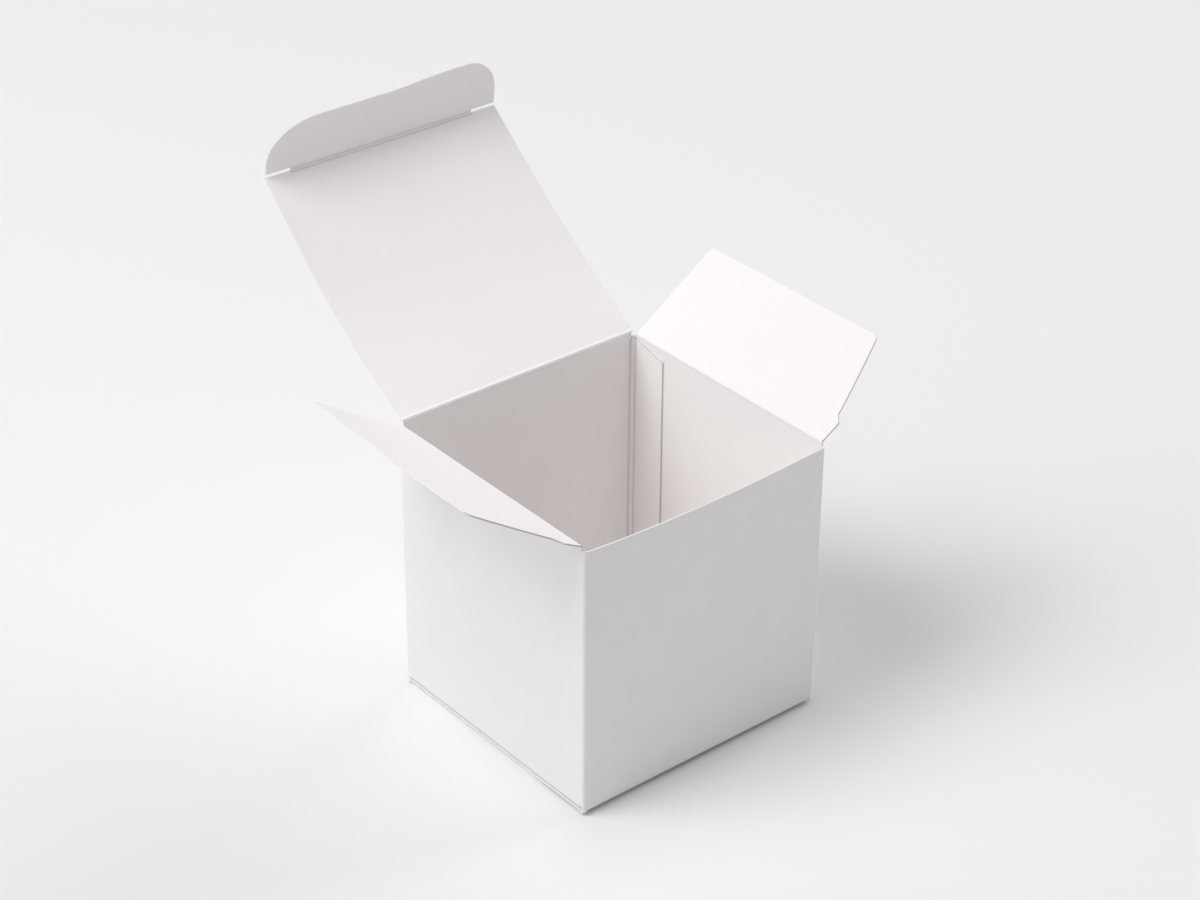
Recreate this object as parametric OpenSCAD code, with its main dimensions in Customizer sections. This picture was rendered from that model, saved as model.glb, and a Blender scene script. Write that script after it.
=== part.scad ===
// Tuck top folding carton of plain white paperboard, standing open.
// Origin at the middle of the base, +Z up, front wall towards -Y, lid hinged on the back wall.
// One creased and glued sheet: the walls and the tucked bottom are one solid, and each top flap
// turns about its own crease line, which lies on the outside face of the board.

/* [Board] */
// Thickness of the paperboard
board_t = 0.5; // [0.4:0.05:0.6]
// Outside radius of a right-angled fold
fold_r = 1.2; // [1:0.1:1.6]
// Radius of the bead that a crease raises on the inside face
bead_r = 0.3; // [0.25:0.05:0.35]
// How far the bead stands out of the inside face
bead_rise = 0.2; // [0.1:0.05:0.25]
// Gap left where one layer of board lies over another
layer_gap = 0.3; // [0.2:0.05:0.4]

/* [Box] */
// Width of the front wall
box_w = 100; // [84:1:160]
// Depth of the side walls
box_d = 96; // [80:1:150]
// Height with the lid closed
box_h = 103; // [70:1:180]
// How far the edge of the front wall lies below the closed lid
front_drop = 2.1; // [2:0.1:4]

/* [Glue flap] */
// Width of the glue flap inside the right wall
glue_w = 15.5; // [10:0.5:25]
// Slope of its two ends
glue_slope = 15; // [10:1:30]

/* [Bottom] */
// Height of the tuck flap inside the back wall
base_tuck_h = 16; // [12:1:25]
// Radius of its corners
base_tuck_r = 9; // [4:0.5:11]
// Length of the two flaps above the bottom panel
base_flap_l = 38; // [20:1:46]
// Distance from the front and back corners of the box to these flaps
base_flap_inset = 2; // [1.8:0.1:4]
// Distance from the outside of the side walls to the cut sides of the bottom panel
base_side = 0.4; // [0.3:0.1:1.2]

/* [Lid] */
// Distance from each end of the back crease to the corner of the box
lid_inset = 1; // [0.8:0.1:3]
// How much narrower each side of the lid is at the tuck crease
lid_taper = 1.2; // [0:0.1:1.5]
// Distance from the outside of the front wall to the tuck crease
crease_inset = 0.4; // [0.3:0.05:0.4]

/* [Tuck flap] */
// Length of the tuck flap
tuck_l = 20; // [14:0.5:28]
// Radius of its corners
tuck_r = 15; // [5:0.5:16]
// Length of the slit lock at each end of the tuck crease
slit_l = 10; // [5:0.5:15]
// Width of the slit
slit_gap = 0.8; // [0.7:0.05:1]

/* [Dust flaps] */
// Length of the two dust flaps
flap_l = 40; // [25:1:48]
// Distance from the back corner of the box to the flap
flap_back = 1.8; // [1.5:0.1:4]
// Distance from the front corner of the box to the flap
flap_front = 1.5; // [1.5:0.1:3]
// Length of the straight shoulder that enters the slit lock
shoulder_l = 8; // [5:0.5:12]
// Step in from the shoulder
shoulder_step = 2.6; // [1:0.1:5]
// Slope of the front edge past the shoulder
flap_slope = 15; // [5:1:20]
// Slope of the back edge
flap_back_slope = 0.6; // [0:0.1:5]
// Radius of the two outer corners
flap_r = 2.5; // [1:0.5:6]

/* [Open pose] */
// Angle of the lid from closed
lid_open = 142.5; // [95:0.5:230]
// Angle of the tuck flap from flat with the lid
tuck_open = 60; // [0:1:60]
// Angle of the left dust flap from closed
left_open = 150.3; // [95:0.1:240]
// Angle of the right dust flap from closed
right_open = 145.5; // [95:0.1:240]

/* [Hidden] */
$fn = 48;
board_colour = [0.93, 0.925, 0.92];
inside_colour = [0.88, 0.865, 0.86];
eps = 0.01;
cut_gap = 0.2;
half_w = box_w / 2;
half_d = box_d / 2;
crease_drop = board_t + layer_gap;
bead_in = board_t + bead_rise - bead_r;
lid_z = box_h;
lid_l = box_d - crease_inset;
flap_z = lid_z - crease_drop;
back_top = lid_z - crease_drop;
side_top = flap_z - crease_drop;
front_top = lid_z - front_drop;
lid_root_w = box_w - 2 * lid_inset;
lid_end_w = lid_root_w - 2 * lid_taper;
tuck_root_w = lid_end_w - 2 * slit_l;
crease_slot = board_t + layer_gap + cut_gap / 2;
base_lift = board_t + layer_gap;
side_bottom = base_lift + fold_r;
lap = 0.5;
back_edge_z = layer_gap;
seam_gap = 0.4;
base_back_y = half_d - board_t - layer_gap / 2;
bead_edge = 0.05;
bead_middle = fold_r - (fold_r - board_t) * 0.6;

// Unit vector along v
function unit(v) = v / norm(v);

// Point on the edge from corner p towards q where an arc of radius r at p begins; a is the third point
function touch(a, p, q, r) = p + unit(q - p) * r / tan(acos(unit(a - p) * unit(q - p)) / 2);

// Middle of the arc of radius r that rounds the corner p between a and b
function arc_middle(a, p, b, r) =
    p + unit(unit(a - p) + unit(b - p)) * r / sin(acos(unit(a - p) * unit(b - p)) / 2);

// What is cut away to round the corner p between a and b with radius r
module corner_waste(a, p, b, r) {
    middle = arc_middle(a, p, b, r);
    difference() {
        polygon([
            middle,
            2 * touch(b, p, a, r) - middle,
            2 * p - middle,
            2 * touch(a, p, b, r) - middle
        ]);
        translate(middle) circle(r);
    }
}

// Outline that starts and ends with the given points and has two rounded outer corners between them
module flap_outline(start, first, second, end, r) {
    difference() {
        polygon(concat(start, [first, second], end));
        corner_waste(start[len(start) - 1], first, second, r);
        corner_waste(first, second, end[0], r);
    }
}

// A board-thick sheet of the outline given, outside face at z = 0, inside face up
module sheet() {
    linear_extrude(board_t) children();
}

// Bead of length l along X on the inside face of an upright wall: outside face y = 0, top edge z = 0
module edge_bead(l) {
    translate([-l / 2, bead_in, -bead_r - bead_edge]) rotate([0, 90, 0]) cylinder(r = bead_r, h = l);
}

// A square of side l from the origin with the corner at the origin rounded to radius r
module rounded_square(l, r) {
    difference() {
        square(l);
        corner_waste([l, 0], [0, 0], [0, l], r);
    }
}

// Section of a right-angled fold, outside corner at the origin, with two straight legs of length leg
module fold_section(leg) {
    difference() {
        rounded_square(fold_r + leg, fold_r);
        translate([board_t, board_t]) rounded_square(fold_r + leg, fold_r - board_t);
    }
}

// A folded edge of length l along X: it rises from y = 0 at z = fold_r to z = 0
module folded_edge(l) {
    translate([-l / 2, 0, 0]) rotate([90, 0, 90]) {
        linear_extrude(l) fold_section(lap);
        translate([bead_middle, bead_middle, 0]) cylinder(r = bead_r, h = l);
    }
}

// A vertical fold between two walls, its outside corner at the origin and the box towards +X +Y
module corner_fold(top) {
    translate([0, 0, base_lift]) {
        linear_extrude(top - base_lift) fold_section(0);
        translate([bead_middle, bead_middle, 0]) cylinder(r = bead_r, h = top - base_lift);
    }
    translate([0, 0, side_bottom]) linear_extrude(top - side_bottom) fold_section(lap);
}

// Outline of a dust flap of length l: its crease lies along X, x measured like y of the box
module dust_outline(l, front, back) {
    step_v = shoulder_l + shoulder_step;
    step_x = front + shoulder_step;
    flap_outline(
        [[front, 0], [front, shoulder_l], [step_x, step_v]],
        [step_x + (l - step_v) * tan(flap_slope), l],
        [back - l * tan(flap_back_slope), l],
        [[back, 0]],
        flap_r
    );
}

// Wall panels, their vertical folds and the glue flap
module front_wall() {
    translate([-half_w + fold_r, -half_d, fold_r])
        cube([box_w - 2 * fold_r, board_t, front_top - fold_r]);
    translate([0, -half_d, 0]) folded_edge(box_w - 2 * fold_r);
    translate([-half_w, -half_d, 0]) corner_fold(front_top);
    translate([half_w, -half_d, 0]) mirror([1, 0, 0]) corner_fold(front_top);
}

module back_wall() {
    translate([-half_w + fold_r, half_d - board_t, back_edge_z])
        cube([box_w - 2 * fold_r - board_t, board_t, back_top - back_edge_z]);
    translate([-board_t / 2, half_d, back_top]) mirror([0, 1, 0])
        edge_bead(box_w - 2 * fold_r - board_t);
    translate([-half_w, half_d, 0]) mirror([0, 1, 0]) corner_fold(side_top);
    translate([half_w - board_t, half_d, 0]) rotate([0, 0, 180]) corner_fold(side_top);
}

module left_wall() {
    translate([-half_w, -half_d + fold_r, side_bottom])
        cube([board_t, box_d - 2 * fold_r, side_top - side_bottom]);
    translate([-half_w, 0, side_top]) rotate([0, 0, -90]) edge_bead(box_d - 2 * fold_r);
}

module right_wall() {
    translate([half_w - board_t, -half_d + fold_r, side_bottom])
        cube([board_t, box_d - fold_r - seam_gap, side_top - side_bottom]);
    translate([half_w, 0, side_top]) rotate([0, 0, 90]) edge_bead(box_d - 2 * fold_r);
}

module glue_flap() {
    fold_y = half_d - fold_r;
    root = fold_y - lap;
    edge = half_d - board_t - glue_w;
    fall = (root - edge) * tan(glue_slope);
    translate([half_w - board_t + eps, 0, 0]) rotate([90, 0, -90])
        linear_extrude(board_t + eps) polygon([
            [-fold_y, side_bottom],
            [-root, side_bottom],
            [-edge, side_bottom + fall],
            [-edge, side_top - fall],
            [-root, side_top],
            [-fold_y, side_top]
        ]);
}

// The bottom panel folds up from the front wall and tucks up inside the back wall
module bottom_panel() {
    panel_w = box_w - 2 * base_side;
    tuck_w = box_w - 4 * fold_r;
    translate([-panel_w / 2, -half_d + fold_r, 0])
        cube([panel_w, base_back_y - fold_r + half_d - fold_r, board_t]);
    translate([0, base_back_y, 0]) rotate([0, 0, 180]) folded_edge(tuck_w);
    translate([0, base_back_y, fold_r]) rotate([90, 0, 0]) linear_extrude(board_t)
        flap_outline(
            [[-tuck_w / 2, 0]],
            [-tuck_w / 2, base_tuck_h - fold_r],
            [tuck_w / 2, base_tuck_h - fold_r],
            [[tuck_w / 2, 0]],
            base_tuck_r
        );
}

// One bottom flap, folded in from the left wall just above the bottom panel, shoulder at the back
module bottom_flap() {
    reach = half_d - base_flap_inset;
    translate([-half_w, 0, base_lift]) rotate([0, 0, -90]) folded_edge(2 * reach);
    translate([-half_w + fold_r, 0, base_lift]) rotate([0, 0, -90]) sheet() difference() {
        translate([0, -fold_r]) dust_outline(base_flap_l, -reach, reach);
        translate([-half_d, -fold_r - eps]) square([box_d, fold_r + eps]);
    }
}

module carton_body() {
    color(board_colour) {
        front_wall();
        back_wall();
        left_wall();
        right_wall();
        glue_flap();
        bottom_panel();
        bottom_flap();
        mirror([1, 0, 0]) bottom_flap();
    }
}

// Lid lying flat: crease along X at y = 0, inside face up, a tab beside each end of the tuck crease
module lid_flat() {
    edge_y = lid_l - crease_slot;
    slit_x = tuck_root_w / 2 + cut_gap;
    sheet() polygon([
        [-lid_root_w / 2, 0],
        [lid_root_w / 2, 0],
        [lid_end_w / 2, lid_l],
        [slit_x, lid_l],
        [slit_x, edge_y],
        [-slit_x, edge_y],
        [-slit_x, lid_l],
        [-lid_end_w / 2, lid_l]
    ]);
    translate([0, edge_y, 0]) rotate([-90, 0, 0]) mirror([0, 1, 0]) edge_bead(tuck_root_w);
}

// Tuck flap lying flat: crease along X at y = 0, inside face up
module tuck_flat() {
    root = tuck_root_w / 2;
    shoulder = lid_end_w / 2 - cut_gap;
    sheet() flap_outline(
        [[-root, 0], [-root, slit_gap], [-shoulder, slit_gap]],
        [-shoulder, tuck_l],
        [shoulder, tuck_l],
        [[shoulder, slit_gap], [root, slit_gap], [root, 0]],
        tuck_r
    );
}

// Moves what is drawn flat onto the back crease at the angle of the open lid
module at_lid() {
    translate([0, half_d, lid_z]) rotate([180 - lid_open, 0, 0]) children();
}

module lid_panel() {
    color(inside_colour) at_lid() lid_flat();
}

module tuck_flap() {
    color(inside_colour) at_lid() translate([0, lid_l, 0]) rotate([tuck_open, 0, 0]) tuck_flat();
}

// The dust flap of the left wall, open by the angle given
module dust_flap(angle) {
    translate([-half_w, 0, flap_z]) rotate([0, -angle, 0]) rotate([180, 0, 90]) sheet()
        dust_outline(flap_l, -half_d + flap_front, half_d - flap_back);
}

module left_dust_flap() {
    color(board_colour) dust_flap(left_open);
}

module right_dust_flap() {
    color(board_colour) mirror([1, 0, 0]) dust_flap(right_open);
}

carton_body();
lid_panel();
tuck_flap();
left_dust_flap();
right_dust_flap();
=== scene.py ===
"""Looks for a plain white tuck top folding carton that stands open.

Every panel is a thin slab worked out as two grids of points, the outside and the inside face of
the board. Lengths in this file are millimetres until a mesh is made, in the frame of the solids:
the front wall towards -Y and the lid hinged on the back wall.
"""
import math

import bpy
import numpy as np
from mathutils import Matrix, Vector


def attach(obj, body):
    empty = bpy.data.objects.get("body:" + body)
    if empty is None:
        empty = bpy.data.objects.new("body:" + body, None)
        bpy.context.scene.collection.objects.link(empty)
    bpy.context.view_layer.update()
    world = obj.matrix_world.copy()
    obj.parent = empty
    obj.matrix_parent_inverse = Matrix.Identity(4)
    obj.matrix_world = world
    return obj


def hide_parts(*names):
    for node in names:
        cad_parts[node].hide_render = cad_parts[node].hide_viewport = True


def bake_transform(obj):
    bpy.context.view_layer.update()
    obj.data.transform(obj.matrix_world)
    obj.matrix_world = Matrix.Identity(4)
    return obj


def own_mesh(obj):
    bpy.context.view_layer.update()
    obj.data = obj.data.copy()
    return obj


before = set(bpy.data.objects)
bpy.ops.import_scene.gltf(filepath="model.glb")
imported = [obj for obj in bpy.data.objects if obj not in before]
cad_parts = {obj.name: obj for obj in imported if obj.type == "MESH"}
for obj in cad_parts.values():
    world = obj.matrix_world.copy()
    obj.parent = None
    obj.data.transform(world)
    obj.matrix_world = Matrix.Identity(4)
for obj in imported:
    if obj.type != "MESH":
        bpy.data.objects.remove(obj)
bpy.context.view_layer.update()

MM = 0.001  # metres in a millimetre
BOARD = 0.5  # thickness of the board
BOX_W, BOX_D, BOX_H = 100.0, 96.0, 103.0
HALF_W, HALF_D = BOX_W / 2, BOX_D / 2
FOLD_R = 1.2  # outside radius of the folds between walls
FLAT_W, FLAT_D = HALF_W - FOLD_R, HALF_D - FOLD_R  # half lengths of the walls between their folds
SLOPE = math.tan(math.radians(15))  # of the sloping cut edges
BRUISE = 0.55  # half width of the bruised strip along the crease of a flap
CREASE_SOFT = 0.7  # how far the curve of such a crease reaches along the sheet on each side

# Joints at rest, in degrees.
LID_REST, TUCK_REST = 142.5, 60.0
LEFT_REST, RIGHT_REST = 150.3, 145.5

# Heights of rims, seams and folds.
FLAP_Z = 102.2  # creases of the dust flaps
CORNER_TOP = 101.3  # rim at the corners of the box
FRONT_TOP = 100.9  # free edge of the front wall
SEAM_Z = 100.4  # where a wall ends and the sheet of its flap or of the lid begins
FRONT_SEAM = 3.1  # where the front wall ends and the bottom sheet begins
SIDE_SEAM = 2.35  # pressed line where a side wall ends and its bottom flap begins
FRONT_LIFT = 1.4  # front bottom fold
CORNER_FOOT = 1.0  # lower rim at the corners
BASE_LIFT = 0.8  # bottom flaps
BACK_FOOT = 0.35  # lower rim of the back wall

# Dust flaps and bottom flaps.
FLAP_FRONT, FLAP_BACK = -46.5, 46.2  # ends of the creases of the dust flaps
BASE_REACH = 46.0  # half length of the creases of the bottom flaps
SHOULDER, STEP = 8.0, 2.6  # length of the straight shoulder, and size of the step after it
FLAP_R = 2.5  # radius of the outer corners

# Lid and tuck flap.
LID_L = 95.6
LID_ROOT, LID_TAPER = 49.0, 1.2  # half width at the crease, and how much narrower at the front
LID_NECK = 48.2  # half width of the strip below the crease
SEAM_HALF = 48.31  # half length of the seam in the back wall
SLIT_X = 37.8  # inner ends of the slits
SLIT_HALF = 0.1  # half width of the cut between the strip and a tab
STRIP = 1.2  # strip of lid that belongs to the tuck sheet
SLIT_BACK, SLIT_FRONT = 0.2, 1.4  # reach of the slits from the tuck crease, on lid and flap

# Glue flap, glued to the inside of the right wall.
GLUE_W = 15.5
GLUE_X = HALF_W - BOARD - 0.02  # its outside face
GLUE_END = HALF_D - BOARD - GLUE_W  # its cut end
GLUE_LINE = GLUE_END - 0.25  # painted shadow line beside the cut end, on the right wall
GLUE_TOP = CORNER_TOP - GLUE_W * SLOPE  # top of the cut end
RIGHT_END = HALF_D - 0.4  # back edge of the right wall


# ---- curves and grids

def smooth(x, low, high):
    """0 below low, 1 above high, and 3t^2 - 2t^3 between them, where t is the share of the way."""
    t = np.clip((x - low) / (high - low), 0, 1)
    return t * t * (3 - 2 * t)


def band(x, middle, half, soft):
    """1 within half of the middle, falling smoothly to 0 over the next soft on each side."""
    rise = smooth(x, middle - half - soft, middle - half)
    return rise * (1 - smooth(x, middle + half, middle + half + soft))


def lines(run, places, width):
    """Mask of thin lines at the places given: the sum of exp(-(distance / width)^2)."""
    return sum(np.exp(-((run - place) / width) ** 2) for place in places)


def sway(a, b, size, phase):
    """Slow swell of a sheet: three products of sines of the two surface lengths, whose sum is at
    most about size."""
    return size * (0.5 * np.sin(a / 23 + phase) * np.cos(b / 31 - phase)
                   + 0.3 * np.sin(a / 13 - 2 * phase + b / 41)
                   + 0.2 * np.cos(b / 11 + 3 * phase))


def fine_ends(low, high, count, margin=(0.3, 1.0, 2.5)):
    """Evenly spaced values from low to high, with a few more beside each end."""
    side = np.array(margin)
    even = np.linspace(low + side[-1], high - side[-1], count)[1:-1]
    return np.concatenate([[low], low + side, even, high - side[::-1], [high]])


def cut_shares(count):
    """Shares of the way across a sheet: evenly spaced, with three more beside each cut edge."""
    beside = np.array([0.003, 0.01, 0.02])
    return np.sort(np.concatenate([np.linspace(0, 1, count), beside, 1 - beside]))


def sorted_rows(*parts):
    """All lengths given, in order and without repeats, to 5 decimals."""
    return np.unique(np.round(np.concatenate(parts), 5))


def lengths_along(points):
    """Length of a line up to each of its points."""
    return np.concatenate([[0], np.cumsum(np.linalg.norm(np.diff(points, axis=0), axis=1))])


def folded_line(corners, soft, steps, arc_steps=12):
    """Line in a plane through straight legs. Each inner corner C is replaced by the curve
    (1-t)^2 A + 2t(1-t) C + t^2 B, where A and B lie soft[i] before and after C on its legs. steps
    gives the number of steps on each leg. Returns the points, the unit tangents, the length so
    far and the length at the middle of each curve."""
    corners = np.array(corners, float)
    legs = np.diff(corners, axis=0)
    ways = legs / np.linalg.norm(legs, axis=1)[:, None]
    points, tangents, marks = [], [], []
    start = corners[0]
    t = np.linspace(0, 1, arc_steps + 1)[:, None]
    for i, way in enumerate(ways):
        last = i == len(ways) - 1
        end = corners[-1] if last else corners[i + 1] - soft[i] * way
        share = np.linspace(0, 1, steps[i] + 1)[:, None]
        points.append(start + share * (end - start))
        tangents.append(np.repeat(way[None], len(share), 0))
        if not last:
            a, c, b = end, corners[i + 1], corners[i + 1] + soft[i] * ways[i + 1]
            curve = (1 - t) ** 2 * a + 2 * t * (1 - t) * c + t ** 2 * b
            slope = 2 * (1 - t) * (c - a) + 2 * t * (b - c)
            marks.append(sum(len(part) for part in points) + arc_steps // 2 - 1)
            points.append(curve[1:-1])
            tangents.append((slope / np.linalg.norm(slope, axis=1, keepdims=True))[1:-1])
            start = b
    points, tangents = np.concatenate(points), np.concatenate(tangents)
    run = lengths_along(points)
    return points, tangents, run, run[marks]


def respaced(line, tangent, run, rows):
    """The same line sampled at other lengths, by straight interpolation."""
    columns = np.concatenate([line, tangent], 1).T
    taken = np.stack([np.interp(rows, run, column) for column in columns], 1)
    points, ways = taken[:, :2], taken[:, 2:]
    return points, ways / np.linalg.norm(ways, axis=1, keepdims=True), rows


def left_of(tangents):
    """The tangents turned a quarter turn anticlockwise: towards the inside face of the board."""
    return np.stack([-tangents[:, 1], tangents[:, 0]], 1)


def pushed(place, ways, amount):
    """Places in a plane, moved by an amount along the direction of their row."""
    return place + ways[:, None] * amount[..., None]


def faces(place, normal, push, thick):
    """Places of the outside face, pushed towards the inside, and of the inside face."""
    return pushed(place, normal, push), pushed(place, normal, push + thick)


def side_of_box(side, place, along):
    """World points from places in the plane across a wall, as the distance out of its outside
    face and the height, and the place along the wall."""
    out, z, along = np.broadcast_arrays(place[..., 0], place[..., 1], along)
    across = {"left": -HALF_W - out, "right": HALF_W + out,
              "front": -HALF_D - out, "back": HALF_D + out}[side]
    level = (across, along) if side in ("left", "right") else (along, across)
    return np.stack([*level, z], -1)


# ---- meshes

def board(name, outer, inner, crease, score_shade=0.0, outer_score_shade=0.0):
    """Closed slab between two grids of points: the outside face, the inside face and the cut edge
    that joins their rims. The masks of the creases and of the pressed lines with their painted
    shade (painted shade also where nothing is pressed, on rims and beside cut ends), which may be
    given for the whole grid, a row, a column or as one value, are kept as point attributes."""
    rows, cols = outer.shape[:2]
    count = rows * cols
    grid = np.arange(count).reshape(rows, cols)
    face = np.stack([grid[:-1, :-1], grid[:-1, 1:], grid[1:, 1:], grid[1:, :-1]], -1)
    face = face.reshape(-1, 4)
    rim = np.concatenate([grid[0, :-1], grid[:-1, -1], grid[-1, :0:-1], grid[:0:-1, 0]])
    after = np.roll(rim, -1)
    edge = np.stack([rim, rim + count, after + count, after], 1)
    quads = np.concatenate([face, face[:, ::-1] + count, edge])
    points = np.concatenate([outer.reshape(-1, 3), inner.reshape(-1, 3)])
    a, b, c = points[face[:, 0]], points[face[:, 1]], points[face[:, 2]]
    out = a - points[face[:, 0] + count]
    if np.einsum("ij,ij->i", np.cross(b - a, c - a), out).sum() < 0:
        quads = quads[:, ::-1]
    mesh = bpy.data.meshes.new(name)
    mesh.from_pydata((points * MM).tolist(), [], quads.tolist())
    kinds = np.repeat([0, 1, 2], [len(face), len(face), len(edge)]).astype(np.int32)
    mesh.polygons.foreach_set("material_index", kinds)
    mesh.polygons.foreach_set("use_smooth", np.ones(len(quads), bool))
    for label, pair in (("crease", (crease, crease)), ("score_shade", (outer_score_shade, score_shade))):
        mask = mesh.attributes.new(label, "FLOAT", "POINT")
        values = np.stack([np.broadcast_to(part, (rows, cols)) for part in pair])
        mask.data.foreach_set("value", values.reshape(-1).astype(np.float32))
    mesh.update()
    mesh.set_sharp_from_angle(angle=math.radians(38))
    for material in (OUTSIDE, INSIDE, CUT_EDGE):
        mesh.materials.append(material)
    piece = bpy.data.objects.new(name, mesh)
    bpy.context.scene.collection.objects.link(piece)
    return piece


# ---- materials

def group(name, inputs, outputs):
    """Shader node group with float sockets, the inputs with their values. Returns its tree, its
    input and output nodes and its texture coordinates."""
    tree = bpy.data.node_groups.new(name, "ShaderNodeTree")
    for label, value in inputs.items():
        socket = tree.interface.new_socket(label, in_out="INPUT", socket_type="NodeSocketFloat")
        socket.default_value = value
    for label in outputs:
        tree.interface.new_socket(label, in_out="OUTPUT", socket_type="NodeSocketFloat")
    kinds = ("NodeGroupInput", "NodeGroupOutput", "ShaderNodeTexCoord")
    return tree, *(tree.nodes.new(kind) for kind in kinds)


def node(tree, kind, **values):
    """New node with its properties and input values set by name, a space written as _."""
    made = tree.nodes.new(kind)
    for key, value in values.items():
        if hasattr(made, key):
            setattr(made, key, value)
        else:
            made.inputs[key.replace("_", " ")].default_value = value
    return made


def pulp_group():
    """Bleached pulp: cloudy density of the fibre felt, and a fine matted height made of two
    noises, one drawn out along the grain of the board."""
    tree, start, end, place = group(
        "pulp", {"Cloud size": 60.0, "Fibre size": 2500.0}, ("Cloud", "Height"))
    link = tree.links.new
    cloud = node(tree, "ShaderNodeTexNoise", Detail=5.0, Roughness=0.62)
    drawn = node(tree, "ShaderNodeMapping", vector_type="POINT", Scale=(1.0, 1.0, 0.28))
    felt = node(tree, "ShaderNodeTexNoise", Detail=3.0, Roughness=0.7)
    clump = node(tree, "ShaderNodeTexNoise", Scale=520.0, Detail=2.0, Roughness=0.5)
    total = node(tree, "ShaderNodeMath", operation="MULTIPLY_ADD")
    total.inputs[1].default_value = 0.6  # weight of the felt beside the clumps
    link(place.outputs["Object"], cloud.inputs["Vector"])
    link(place.outputs["Object"], drawn.inputs["Vector"])
    link(place.outputs["Object"], clump.inputs["Vector"])
    link(drawn.outputs["Vector"], felt.inputs["Vector"])
    link(start.outputs["Cloud size"], cloud.inputs["Scale"])
    link(start.outputs["Fibre size"], felt.inputs["Scale"])
    link(felt.outputs["Fac"], total.inputs[0])
    link(clump.outputs["Fac"], total.inputs[2])
    link(cloud.outputs["Fac"], end.inputs["Cloud"])
    link(total.outputs["Value"], end.inputs["Height"])
    return tree


def crease_group():
    """Folded fibres: where the crease mask is high the coat is bruised, broken up by a noise."""
    tree, start, end, place = group("crease_wear", {"Depth": 1.0}, ("Bruise", "Height"))
    link = tree.links.new
    mask = node(tree, "ShaderNodeAttribute", attribute_name="crease", attribute_type="GEOMETRY")
    broken = node(tree, "ShaderNodeTexNoise", Scale=900.0, Detail=4.0, Roughness=0.7)
    grade = node(tree, "ShaderNodeMapRange", From_Min=0.35, From_Max=0.7)
    bruise = node(tree, "ShaderNodeMath", operation="MULTIPLY")
    height = node(tree, "ShaderNodeMath", operation="MULTIPLY")
    link(place.outputs["Object"], broken.inputs["Vector"])
    link(broken.outputs["Fac"], grade.inputs["Value"])
    link(mask.outputs["Fac"], bruise.inputs[0])
    link(grade.outputs["Result"], bruise.inputs[1])
    link(bruise.outputs["Value"], height.inputs[0])
    link(start.outputs["Depth"], height.inputs[1])
    link(bruise.outputs["Value"], end.inputs["Bruise"])
    link(height.outputs["Value"], end.inputs["Height"])
    return tree


def score_shade_group():
    """Pressed line and painted shade: its depth follows the mask, made a little uneven along the
    line by a slow noise, and the same mask mixes painted shade into the colour by the share that
    Shade gives."""
    tree, start, end, place = group("score_and_painted_shade", {"Shade": 0.5}, ("Share", "Height"))
    link = tree.links.new
    mask = node(tree, "ShaderNodeAttribute", attribute_name="score_shade", attribute_type="GEOMETRY")
    uneven = node(tree, "ShaderNodeTexNoise", Scale=160.0, Detail=3.0, Roughness=0.6)
    grade = node(tree, "ShaderNodeMapRange", To_Min=0.8, To_Max=1.2)
    depth = node(tree, "ShaderNodeMath", operation="MULTIPLY")
    share = node(tree, "ShaderNodeMath", operation="MULTIPLY", use_clamp=True)
    height = node(tree, "ShaderNodeMath", operation="MULTIPLY")
    height.inputs[1].default_value = -0.6  # pressed in, not raised
    link(place.outputs["Object"], uneven.inputs["Vector"])
    link(uneven.outputs["Fac"], grade.inputs["Value"])
    link(mask.outputs["Fac"], depth.inputs[0])
    link(grade.outputs["Result"], depth.inputs[1])
    link(depth.outputs["Value"], share.inputs[0])
    link(start.outputs["Shade"], share.inputs[1])
    link(depth.outputs["Value"], height.inputs[0])
    link(share.outputs["Value"], end.inputs["Share"])
    link(height.outputs["Value"], end.inputs["Height"])
    return tree


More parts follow.
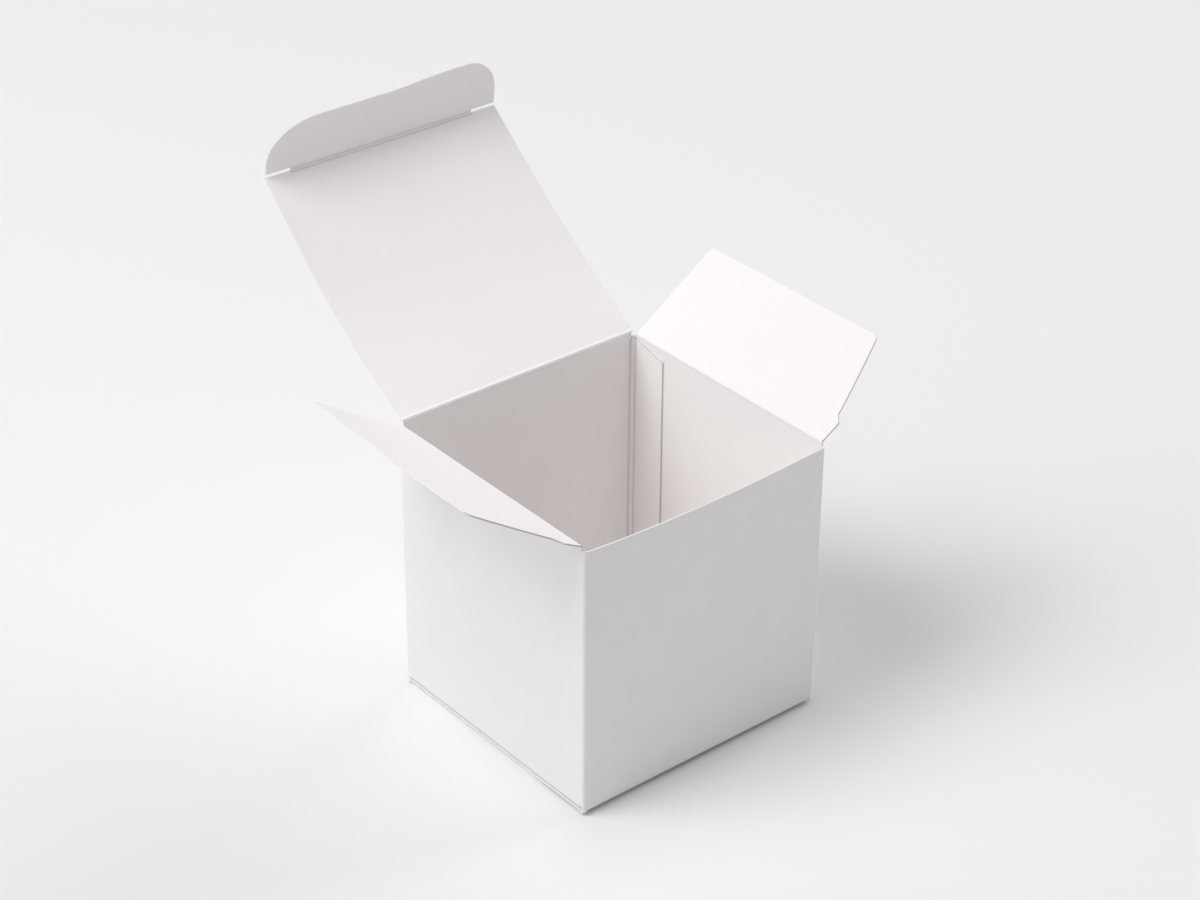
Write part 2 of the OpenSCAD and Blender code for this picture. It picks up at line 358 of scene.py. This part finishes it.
def paper(name, light, dark, bruised, rough, gloss, bump, fibre):
    """Board face: two tints mixed by the pulp's cloud, bruised at the creases and darkened by
    painted shade where the pressed-line-and-shade mask is high, over a fine matted height."""
    # painted shade: the dark colour that the pressed-line-and-shade mask mixes in
    shade = (0.16, 0.14, 0.135, 1)
    material = bpy.data.materials.new(name)
    material.use_nodes = True
    tree = material.node_tree
    tree.nodes.clear()
    link = tree.links.new
    pulp = node(tree, "ShaderNodeGroup", node_tree=PULP)
    pulp.inputs["Fibre size"].default_value = fibre
    wear = node(tree, "ShaderNodeGroup", node_tree=WEAR)
    score_shade = node(tree, "ShaderNodeGroup", node_tree=SCORE_SHADE)
    tint = node(tree, "ShaderNodeMix", data_type="RGBA", A=(*dark, 1), B=(*light, 1))
    worn = node(tree, "ShaderNodeMix", data_type="RGBA", B=(*bruised, 1))
    painted_shade_mix = node(tree, "ShaderNodeMix", data_type="RGBA", B=shade)
    share = node(tree, "ShaderNodeMapRange", From_Min=0.3, From_Max=0.7)
    rub = node(tree, "ShaderNodeMapRange", To_Min=rough - 0.05, To_Max=rough + 0.05)
    height = node(tree, "ShaderNodeMath", operation="ADD")
    pressed = node(tree, "ShaderNodeMath", operation="ADD")
    relief = node(tree, "ShaderNodeBump", Strength=bump, Distance=0.12 * MM)
    coat = node(tree, "ShaderNodeBsdfPrincipled", Specular_IOR_Level=gloss)
    out = tree.nodes.new("ShaderNodeOutputMaterial")
    link(pulp.outputs["Cloud"], share.inputs["Value"])
    link(share.outputs["Result"], tint.inputs["Factor"])
    link(tint.outputs["Result"], worn.inputs["A"])
    link(wear.outputs["Bruise"], worn.inputs["Factor"])
    link(worn.outputs["Result"], painted_shade_mix.inputs["A"])
    link(score_shade.outputs["Share"], painted_shade_mix.inputs["Factor"])
    link(painted_shade_mix.outputs["Result"], coat.inputs["Base Color"])
    link(pulp.outputs["Cloud"], rub.inputs["Value"])
    link(rub.outputs["Result"], coat.inputs["Roughness"])
    link(pulp.outputs["Height"], height.inputs[0])
    link(wear.outputs["Height"], height.inputs[1])
    link(height.outputs["Value"], pressed.inputs[0])
    link(score_shade.outputs["Height"], pressed.inputs[1])
    link(pressed.outputs["Value"], relief.inputs["Height"])
    link(relief.outputs["Normal"], coat.inputs["Normal"])
    link(coat.outputs["BSDF"], out.inputs["Surface"])
    return material


PULP, WEAR, SCORE_SHADE = pulp_group(), crease_group(), score_shade_group()
OUTSIDE = paper(
    "coated_outside", light=(0.913, 0.900, 0.902), dark=(0.893, 0.880, 0.882),
    bruised=(0.82, 0.815, 0.81), rough=0.5, gloss=0.35, bump=0.25, fibre=2600.0)
INSIDE = paper(
    "plain_inside", light=(0.992, 0.957, 0.955), dark=(0.982, 0.946, 0.944),
    bruised=(0.985, 0.962, 0.958), rough=0.82, gloss=0.2, bump=0.55, fibre=1900.0)
CUT_EDGE = paper(
    "cut_edge", light=(0.90, 0.895, 0.885), dark=(0.82, 0.81, 0.80),
    bruised=(0.78, 0.765, 0.75), rough=0.95, gloss=0.1, bump=1.0, fibre=3800.0)


# ---- creases and outlines of flaps

def crease_bead(run, rise, hollow=0.0, half=0.25, soft=0.5):
    """Rise of the inside face over a crease: a rounded ridge with a hollow of the depth given on
    each side of it."""
    ridge = rise * band(run, 0, half, soft)
    return ridge - hollow * band(np.abs(run), half + soft + 0.3, 0.08, 0.25)


def arc_rows(length, radius, count=10):
    """Rows that follow a rounded end: dense where the outline turns across the sheet."""
    turn = np.linspace(0, math.pi / 2, count)[1:]
    return length - radius + radius * np.sin(turn)


def rounded_side(run, edge, slope, length, radius):
    """Outline of one side of a flap: a straight edge that moves in by slope, then a circle of the
    radius given that touches both that edge and the end. Returned as the distance from the axis
    of the flap's own side."""
    angle = math.atan(slope)
    centre_v = length - radius
    centre_u = edge - slope * centre_v - radius / math.cos(angle)
    touch_v = centre_v + radius * math.sin(angle)
    straight = edge - slope * run
    curve = centre_u + np.sqrt(np.clip(radius ** 2 - (run - centre_v) ** 2, 0, None))
    return np.where(run < touch_v, straight, curve)


def stepped_side(run, edge, length):
    """Outline of the shaped side of a flap: a straight shoulder, a 45 degree step inwards, a
    sloping edge and a rounded corner."""
    turn = SHOULDER + STEP
    sloped = rounded_side(run, edge - STEP + SLOPE * turn, SLOPE, length, FLAP_R)
    return np.where(run < turn, edge - np.clip(run - SHOULDER, 0, STEP), sloped)


def elliptic_side(run, edge, length, across, down):
    """Outline of one side of a flap: a straight edge that ends in a quarter ellipse with the two
    half axes given."""
    past = np.clip((run - length + down) / down, 0, 1)
    return edge - across + across * np.sqrt(1 - past ** 2)


def top_line(tilt, hinge_z, length, steps):
    """Line from the seam in a wall up to the crease and on along the flap, in the plane across
    the wall. tilt is the flap's angle above the level, in degrees."""
    tilt = math.radians(tilt)
    end = (length * math.cos(tilt), hinge_z + length * math.sin(tilt))
    return folded_line([(0, SEAM_Z), (0, hinge_z), end], [CREASE_SOFT], steps)


def flap_rows(run, near, length, count, extra):
    """Lengths from the crease at which a flap has rows: those of its line up to near, an even
    spread, the rounded end and the extra ones."""
    even = np.linspace(near, length - FLAP_R, count)
    return sorted_rows(run[run < near], even, arc_rows(length, FLAP_R), extra)


# ---- the dust flaps

def dust_flap(name, side, tilt, curl):
    """Dust flap with its shaped side in front. The back edge leans in by 0.6 degrees. tilt, in
    degrees, is also the phase of the slow swell. The front cut edge and the rim of both faces
    beside it get painted shade."""
    length = 40.0
    line, tangent, run, marks = top_line(tilt, FLAP_Z, length + 0.5, (6, 60))
    run = run - marks[0]
    turns = [SHOULDER - 0.02, SHOULDER, SHOULDER + STEP, SHOULDER + STEP + 0.02]
    rows = flap_rows(run, 2.5, length, 34, turns)
    line, tangent, run = respaced(line, tangent, run, rows)
    low = -stepped_side(run, -FLAP_FRONT, length)[:, None]
    past_crease = np.clip(run, 0, None)
    high = rounded_side(past_crease, FLAP_BACK, math.tan(math.radians(0.6)), length, FLAP_R)
    share = cut_shares(56)[None]
    along = low + (high[:, None] - low) * share
    push = curl(along, past_crease[:, None] / length)
    push = push + sway(along, run[:, None], 0.16, tilt) * smooth(run, 2, 14)[:, None]
    thick = BOARD + crease_bead(run, 0.1)[:, None]
    outer, inner = (side_of_box(side, place, along)
                    for place in faces(line[:, None], left_of(tangent), push, thick))
    # painted shade on the front cut edge and the rim of both faces beside it
    rim = 0.7 * (share < 0.001) * (run > 0)[:, None]
    return board(name, outer, inner, lines(run, (0,), BRUISE)[:, None], rim, rim)


def left_curl(along, far):
    """The back half of the left flap curls up towards its tip: 2.2 times far squared, fading out
    towards the front, less half of far times what is left of it."""
    return 2.2 * far ** 2 * smooth(along, -10, 50) - 0.5 * far * (1 - far)


def right_curl(along, far):
    """The right flap is almost flat, a little hollow along its middle and only towards the front:
    a parabola 0.7 deep."""
    return -0.7 * 4 * far * (1 - far) * smooth(along, 40, -40)


left_flap = dust_flap("left_flap_sheet", "left", 180 - LEFT_REST, left_curl)
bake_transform(left_flap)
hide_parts("left_dust_flap")
right_flap = dust_flap("right_flap_sheet", "right", 180 - RIGHT_REST, right_curl)
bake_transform(right_flap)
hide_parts("right_dust_flap")


# ---- the lid and its tuck flap

LID_TILT = math.radians(180 - LID_REST)
TUCK_TILT = LID_TILT + math.radians(TUCK_REST)
CREASE_Y = HALF_D + LID_L * math.cos(LID_TILT)
CREASE_Z = BOX_H + LID_L * math.sin(LID_TILT)


def lid_bow(along, run):
    """The lid is bowed between its two creases: its middle stands back from the inside face by a
    half sine wave to the power 1.2, deeper on the left than on the right, with a slow swell."""
    wave = np.sin(math.pi * np.clip(run / LID_L, 0, 1))
    depth = 2.7 - 0.9 * along / HALF_W
    return -depth * wave ** 1.2 + sway(along, run, 0.18, 2.0) * wave


def lid_sheet():
    """Lid from the seam in the back wall to its front end: the middle stops where the strip of
    the tuck sheet begins, and a tab beside each slit ends just short of the tuck crease."""
    line, tangent, run, marks = top_line(180 - LID_REST, BOX_H, LID_L + 0.4, (6, 120))
    run = run - marks[0]
    even = np.linspace(2.5, LID_L - 6, 60)[1:]
    from_end = np.array([5, 4, 3, 2.4, 2, 1.8, 1.65, 1.5, 1.4, 1.3, STRIP])
    rows = np.concatenate([run[run < 2.5], even, LID_L - from_end])
    line, tangent, run = respaced(line, tangent, run, rows)
    below = run[:, None] < 0
    side = np.array([-LID_ROOT, -48.7, -48, -46.5, *np.linspace(-44.5, -SLIT_X - 0.5, 5),
                     -SLIT_X - SLIT_HALF])
    middle = np.linspace(-SLIT_X + SLIT_HALF, SLIT_X - SLIT_HALF, 54)
    across = np.concatenate([side, middle, -side[::-1]])[None]
    tab = np.abs(across) > SLIT_X
    outer_share = np.clip((np.abs(across) - SLIT_X) / (LID_ROOT - SLIT_X), 0, 1)
    taper = LID_TAPER * np.clip(run, 0, None)[:, None] / LID_L
    along = across - np.sign(across) * np.where(below, LID_ROOT - LID_NECK, taper) * outer_share
    shift = smooth(run, LID_L - 6, LID_L - STRIP)[:, None] * (STRIP - SLIT_BACK) * tab
    place = run[:, None] + shift
    bead = crease_bead(run, 0.3, soft=0.4)[:, None]
    bead = bead + crease_bead(place - LID_L, 0.36, 0.1) * (1 - tab)
    base = pushed(line[:, None], tangent, shift)
    outer, inner = (side_of_box("back", face, along)
                    for face in faces(base, left_of(tangent), lid_bow(along, place), BOARD + bead))
    crease = lines(run, (0,), BRUISE)[:, None] + lines(place, (LID_L,), BRUISE)
    return board("lid_sheet", outer, inner, crease)


def tuck_sheet():
    """Tuck flap with the strip of lid beside its crease. Past the slits it widens to the whole
    width. Its outer corners are quarter ellipses, the left one wider, and its free edge dips a
    little in the middle and on the left."""
    length, wide = 20.0, 47.6
    start = LID_L - STRIP
    reach = length + 0.5
    first = (start * math.cos(LID_TILT), BOX_H + start * math.sin(LID_TILT))
    crease = (CREASE_Y - HALF_D, CREASE_Z)
    end = (crease[0] + reach * math.cos(TUCK_TILT), crease[1] + reach * math.sin(TUCK_TILT))
    line, tangent, run, marks = folded_line([first, crease, end], [CREASE_SOFT], (3, 40))
    run = run - marks[0]
    rows = sorted_rows(run[run < 2.5], [SLIT_FRONT, SLIT_FRONT + 0.02],
                       np.linspace(2.5, 4.6, 4), arc_rows(length, 15.2, 26))
    line, tangent, run = respaced(line, tangent, run, rows)
    neck = run < SLIT_FRONT + 0.01
    left, right = (
        np.where(neck, SLIT_X - SLIT_HALF, elliptic_side(run, wide, length, *axes))[:, None]
        for axes in ((20.0, 15.2), (13.5, 13.5)))
    along = -left + (left + right) * cut_shares(56)[None]
    shift = (-0.9 + 1.3 * smooth(along, 0, 28)) * smooth(run, 6, length)[:, None]
    push = 0.5 * (np.clip(run, 0, None)[:, None] / length) ** 2 + 0 * along
    thick = BOARD + crease_bead(run, 0.36, 0.1)[:, None]
    base = pushed(line[:, None], tangent, shift)
    outer, inner = (side_of_box("back", face, along)
                    for face in faces(base, left_of(tangent), push, thick))
    # pressed lines on both sides of the tuck crease, darkened with painted shade
    score_shade = 0.5 * lines(run, (-0.85, 0.85), 0.3)[:, None] * (np.abs(along) < SLIT_X)
    return board("tuck_sheet", outer, inner, lines(run, (0,), BRUISE)[:, None], score_shade)


lid = lid_sheet()
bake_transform(lid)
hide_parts("lid_panel")
tuck = tuck_sheet()
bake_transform(tuck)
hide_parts("tuck_flap")


# ---- the walls

def on_side_wall(x):
    """Whether a place lies on the flat outside of the left or right wall."""
    return np.abs(x) > HALF_W - 0.01


def groove(z):
    """Depth of the pressed line where a side wall ends and the fold of its bottom flap begins."""
    return 0.3 * (1 - smooth(np.abs(z - SIDE_SEAM), 0, 0.55))


def wall_tops(x, y):
    """Upper rim: the seam under a flap or the lid, and the cut height at the corners and beside
    the free edge of the front wall."""
    top = np.where(y < FLAP_FRONT - 0.05, FRONT_TOP, CORNER_TOP)
    top = np.where(on_side_wall(x) & (y > FLAP_FRONT) & (y < FLAP_BACK), SEAM_Z, top)
    return np.where((y > HALF_D - 0.01) & (np.abs(x) < SEAM_HALF), SEAM_Z, top)


def wall_bottoms(x, y):
    """Lower rim: above the fold of a bottom flap on the side walls, the free cut edge on the back
    wall, and up to the lifted fold in front."""
    bottom = np.where(on_side_wall(x) & (np.abs(y) < BASE_REACH), SIDE_SEAM, CORNER_FOOT)
    bottom = np.where(y > BASE_REACH, BACK_FOOT, bottom)
    return bottom + (FRONT_LIFT - CORNER_FOOT) * smooth(-y, FLAT_D, HALF_D)


def glue_tops(x, y):
    """The upper end of the glue flap slopes down from its fold; the rest is as on the other
    walls."""
    fall = np.clip(FLAT_D - y, 0, None) * SLOPE
    return np.where(x > SEAM_HALF, CORNER_TOP - fall, wall_tops(x, y))


def glue_bottoms(x, y):
    """The lower end of the glue flap slopes up from its fold; the rest is as on the other
    walls."""
    rise = np.clip(FLAT_D - y, 0, None) * SLOPE
    on_flap = (x > GLUE_X - 0.08) & (y < HALF_D - 1)
    return np.where(on_flap, 2.0 + rise, wall_bottoms(x, y))


def wall_swell(x, y, z):
    """Slow swell of the side and back walls, nothing at their creases."""
    side = on_side_wall(x)
    across = np.where(side, y / HALF_D, x / HALF_W)
    inside = np.clip(1 - across ** 2, 0, 1) * np.clip(z / 20, 0, 1) * smooth(SEAM_Z - z, 0, 25)
    return sway(np.where(side, y, x), z, 0.30, np.where(side, 1.0, 2.5)) * inside


def corner_run(centre, start, end, count=12):
    """Points and outward directions round a vertical fold, between two angles in degrees."""
    turn = np.radians(np.linspace(start, end, count))
    way = np.stack([np.cos(turn), np.sin(turn)], 1)
    return np.array(centre) + FOLD_R * way, way


def straight_run(start, end, way, count, extra=()):
    """Points along a wall with one outward direction, dense near both ends, where the bead of the
    fold and the steps of the rim are, and at the extra lengths from the start."""
    length = math.dist(start, end)
    near = np.array((0.04, 0.29, 0.43, 0.67, 0.69, 0.86, 1.06, 1.25, 1.49, 1.92)) / length
    share = np.concatenate([fine_ends(0, 1, count, near), np.array(extra) / length])
    share = np.unique(share)
    points = np.array(start) + share[:, None] * (np.array(end) - np.array(start))
    return points, np.repeat(np.array([way], float), len(share), 0)


def wall_band(name, runs, tops, bottoms, end_line=None):
    """Standing band of board: the outside face follows the runs, the inside face lies one board
    further in, plus the bead at each vertical fold. tops and bottoms give the height of both rims
    from the place. end_line is the place of the painted shadow line beside another layer's cut
    end; a band without it has the glue flap, whose upper rim gets painted shade. Pressed lines
    beside each fold and at the side seam carry painted shade too."""
    points = np.concatenate([place for place, _ in runs])
    ways = np.concatenate([way for _, way in runs])
    length = lengths_along(points)
    folds, at = [], 0
    for place, way in runs:
        if abs(way[0] @ way[-1]) < 0.5:
            folds.append(length[at + len(place) // 2])
        at += len(place)
    fresh = np.diff(length, prepend=-1) > 1e-6
    ways, length = ways[fresh], length[fresh]
    x, y = points[fresh].T
    top, bottom = tops(x, y), bottoms(x, y)
    z = bottom + (top - bottom) * fine_ends(0, 1, 46, (0.0015, 0.005, 0.012))[:, None]
    push = wall_swell(x, y, z) - groove(z) * on_side_wall(x)
    near = np.min([np.abs(length - fold) for fold in folds], axis=0)
    thick = BOARD + crease_bead(near, 0.55, hollow=0.12, half=0.6, soft=0.7)
    outer, inner = (np.stack([x + ways[:, 0] * amount, y + ways[:, 1] * amount, z], -1)
                    for amount in (push, push - thick))
    # pressed lines beside the bead of each vertical fold, darkened with painted shade
    score_shade = 0.6 * lines(near, (1.5,), 0.32)
    # painted shade on the upper rim of the glue flap, or a painted shadow line beside the glue
    # flap's cut end
    if end_line is None:
        score_shade = score_shade + 1.1 * (z > top - 0.02) * (x > HALF_W - 1)
    else:
        score_shade = score_shade + 0.9 * lines(y, (end_line,), 0.15) * (z < GLUE_TOP)
    # painted shade in the pressed line where a side wall ends
    below = lines(z, (SIDE_SEAM,), 0.3) * on_side_wall(x)
    return board(name, outer, inner, lines(near, (0,), 0.7), score_shade, below)


beside_line = np.array([-0.6, -0.4, -0.25, -0.12, 0, 0.12, 0.25, 0.4, 0.6])
right_wall = wall_band("right_wall", [
    straight_run((HALF_W, RIGHT_END), (HALF_W, -FLAT_D), (1, 0), 60,
                 RIGHT_END - GLUE_LINE + beside_line),
    corner_run((FLAT_W, -FLAT_D), 0, -90),
], wall_tops, wall_bottoms, end_line=GLUE_LINE)
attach(right_wall, "carton")
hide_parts("carton_body")

left_back = wall_band("left_and_back_walls", [
    corner_run((-FLAT_W, -FLAT_D), 270, 180),
    straight_run((-HALF_W, -FLAT_D), (-HALF_W, FLAT_D), (-1, 0), 60),
    corner_run((-FLAT_W, FLAT_D), 180, 90),
    straight_run((-FLAT_W, HALF_D), (GLUE_X - FOLD_R, HALF_D), (0, 1), 60),
    corner_run((GLUE_X - FOLD_R, FLAT_D), 90, 0),
    straight_run((GLUE_X, FLAT_D), (GLUE_X, GLUE_END), (1, 0), 14),
], glue_tops, glue_bottoms)
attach(left_back, "carton")
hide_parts("carton_body")


def front_panel():
    """Front wall between its two corner folds. Its free top edge bows outwards and the bow dies
    away towards the bottom: depth times height to the power 1.7 times a skewed half sine wave
    across the panel."""
    depth = 2.1
    across = fine_ends(-FLAT_W, FLAT_W, 60)
    z = fine_ends(FRONT_SEAM, FRONT_TOP, 46)[:, None]
    share = (across / FLAT_W + 1) / 2
    wave = np.sin(math.pi * share ** 0.88)
    push = depth * wave * ((z - FRONT_SEAM) / (FRONT_TOP - FRONT_SEAM)) ** 1.7
    fade = np.clip(1 - (2 * share - 1) ** 2, 0, 1) * np.clip(z / 20, 0, 1)
    push = push + sway(across, z, 0.2, 4.0) * fade
    outer, inner = (side_of_box("front", np.stack(np.broadcast_arrays(out, z), -1), across)
                    for out in (push, push - BOARD))
    return board("front_wall", outer, inner, 0.0)


front = front_panel()
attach(front, "carton")
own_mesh(front)
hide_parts("carton_body")


# ---- the bottom

BASE_BRUISE, BASE_BEAD = 0.8, 0.15  # half width and rise of the folds of the bottom


def bottom_sheet():
    """Bottom panel, folded from the front wall, and its tuck flap standing up inside the back
    wall. The front fold stands a little off the floor, with painted shade on its underside just
    past the fold, and the panel sags back to the floor between 36 and 22 in front of the middle."""
    tall, radius = 16.0, 9.0
    back_y = HALF_D - BOARD - 0.15
    line, tangent, run, marks = folded_line(
        [(-HALF_D, FRONT_SEAM), (-HALF_D, FRONT_LIFT), (-36, FRONT_LIFT), (-22, 0),
         (back_y, 0), (back_y, tall)],
        [FOLD_R, 5, 5, FOLD_R], (2, 8, 8, 40, 12))
    front_fold, back_fold = marks[0], marks[3]
    rows = np.concatenate([run[run < back_fold + 4], back_fold + arc_rows(tall, radius, 14)])
    line, tangent, run = respaced(line, tangent, run, sorted_rows(np.clip(rows, 0, run[-1])))
    up = np.clip(run - back_fold, 0, tall)
    half = np.where(run < front_fold + 1, FLAT_W, HALF_W - 0.4)
    half = np.where(up > 0.01, rounded_side(up, HALF_W - 2 * FOLD_R, 0.0, tall, radius), half)
    along = -half[:, None] + 2 * half[:, None] * np.linspace(0, 1, 40)
    fold = lines(run, (front_fold, back_fold), BASE_BRUISE)[:, None]
    outer, inner = (np.stack(np.broadcast_arrays(along, place[..., 0], place[..., 1]), -1)
                    for place in faces(line[:, None], left_of(tangent), 0 * along,
                                       BOARD + BASE_BEAD * fold))
    # painted shade on the underside just past the front fold
    below = 0.7 * band(run - front_fold, 0.9, 0.7, 0.5)[:, None]
    return board("bottom_panel_sheet", outer, inner, fold, outer_score_shade=below)


def bottom_flap(name, side):
    """Flap folded in from a side wall just above the bottom panel, with the shape of a dust
    flap."""
    line, tangent, run, marks = folded_line(
        [(0, SIDE_SEAM), (0, BASE_LIFT), (-38 - FOLD_R, BASE_LIFT)], [0.8], (6, 40))
    run = run - marks[0]
    length = run[-1]
    turns = [SHOULDER, SHOULDER + 0.02, SHOULDER + STEP, SHOULDER + STEP + 0.02]
    rows = flap_rows(run, 3, length, 20, turns)
    line, tangent, run = respaced(line, tangent, run, rows)
    high = stepped_side(run, BASE_REACH, length)[:, None]
    low = -rounded_side(np.clip(run, 0, None), BASE_REACH, 0.01, length, FLAP_R)[:, None]
    along = low + (high - low) * np.linspace(0, 1, 30)
    fold = lines(run, (0,), BASE_BRUISE)[:, None]
    on_wall = run[:, None] < 0
    z = line[:, None, 1]
    recess = groove(z) * on_wall + 0 * along
    outer, inner = (side_of_box(side, place, along)
                    for place in faces(line[:, None], -left_of(tangent), recess,
                                       BOARD + BASE_BEAD * fold))
    # painted shade in the pressed line where the side wall ends
    below = lines(z, (SIDE_SEAM,), 0.3) * on_wall
    return board(name, outer, inner, fold, outer_score_shade=below)


for piece in (bottom_sheet(), bottom_flap("left_bottom_flap", "left"),
              bottom_flap("right_bottom_flap", "right")):
    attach(piece, "carton")
    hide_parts("carton_body")


# ---- floor, light and camera

def floor():
    """Large pale floor with a matt paint."""
    size = 3.0
    mesh = bpy.data.meshes.new("floor")
    mesh.from_pydata([(-size, -size, 0), (size, -size, 0), (size, size, 0), (-size, size, 0)],
                     [], [(0, 1, 2, 3)])
    material = bpy.data.materials.new("studio_floor")
    material.use_nodes = True
    paint = material.node_tree.nodes["Principled BSDF"]
    paint.inputs["Base Color"].default_value = (0.907, 0.896, 0.898, 1)
    paint.inputs["Roughness"].default_value = 0.9
    paint.inputs["Specular IOR Level"].default_value = 0.1
    mesh.materials.append(material)
    made = bpy.data.objects.new("floor", mesh)
    bpy.context.scene.collection.objects.link(made)
    return made


floor()

LAMP_AIM, LAMP_DISTANCE = (0, 0, 0.08), 2.8
LAMP_TINT = (0.985, 1.0, 0.996)


def soft_box(name, towards, size, level):
    """Square area lamp that faces the carton. level is the light it throws on a surface that
    faces it, as a share of the light that shows a white surface as full white."""
    lamp = bpy.data.lights.new(name, "AREA")
    lamp.shape = "SQUARE"
    lamp.size = size
    lamp.energy = level * math.pi ** 2 * LAMP_DISTANCE ** 2
    lamp.color = LAMP_TINT
    made = bpy.data.objects.new(name, lamp)
    way = Vector(towards).normalized()
    made.location = Vector(LAMP_AIM) + way * LAMP_DISTANCE
    made.rotation_mode = "QUATERNION"
    made.rotation_quaternion = way.to_track_quat("Z", "Y")
    bpy.context.scene.collection.objects.link(made)


soft_box("key_light", (-0.43, 0.19, 0.88), size=1.6, level=0.488)
soft_box("left_light", (-0.76, 0.28, 0.6), size=1.7, level=0.236)
soft_box("right_light", (0.87, -0.03, 0.48), size=1.7, level=0.33)

world = bpy.data.worlds.new("studio")
world.use_nodes = True
background = world.node_tree.nodes["Background"]
background.inputs["Color"].default_value = (1.0, 0.995, 0.995, 1)
background.inputs["Strength"].default_value = 0.33
bpy.context.scene.world = world
bpy.context.scene.view_settings.view_transform = "Standard"


def photo_camera():
    """Camera on the line from the aim point that the azimuth and elevation give, rolled a
    little about its view."""
    azimuth, elevation, roll = map(math.radians, (-39.6246, 30.9690, 0.4591))
    aim, distance, lens = Vector((0.010174, 0.017982, 0.083891)), 0.941130, 84.884
    back = Vector((math.sin(azimuth) * math.cos(elevation),
                   -math.cos(azimuth) * math.cos(elevation), math.sin(elevation)))
    level = Vector((math.cos(azimuth), math.sin(azimuth), 0))
    upright = back.cross(level)
    right = level * math.cos(roll) + upright * math.sin(roll)
    up = upright * math.cos(roll) - level * math.sin(roll)
    camera = bpy.data.cameras.new("camera")
    camera.lens = lens
    camera.sensor_width = 36
    made = bpy.data.objects.new("camera", camera)
    turn = Matrix((right, up, back)).transposed().to_4x4()
    made.matrix_world = Matrix.Translation(aim + back * distance) @ turn
    bpy.context.scene.collection.objects.link(made)
    bpy.context.scene.camera = made


photo_camera()
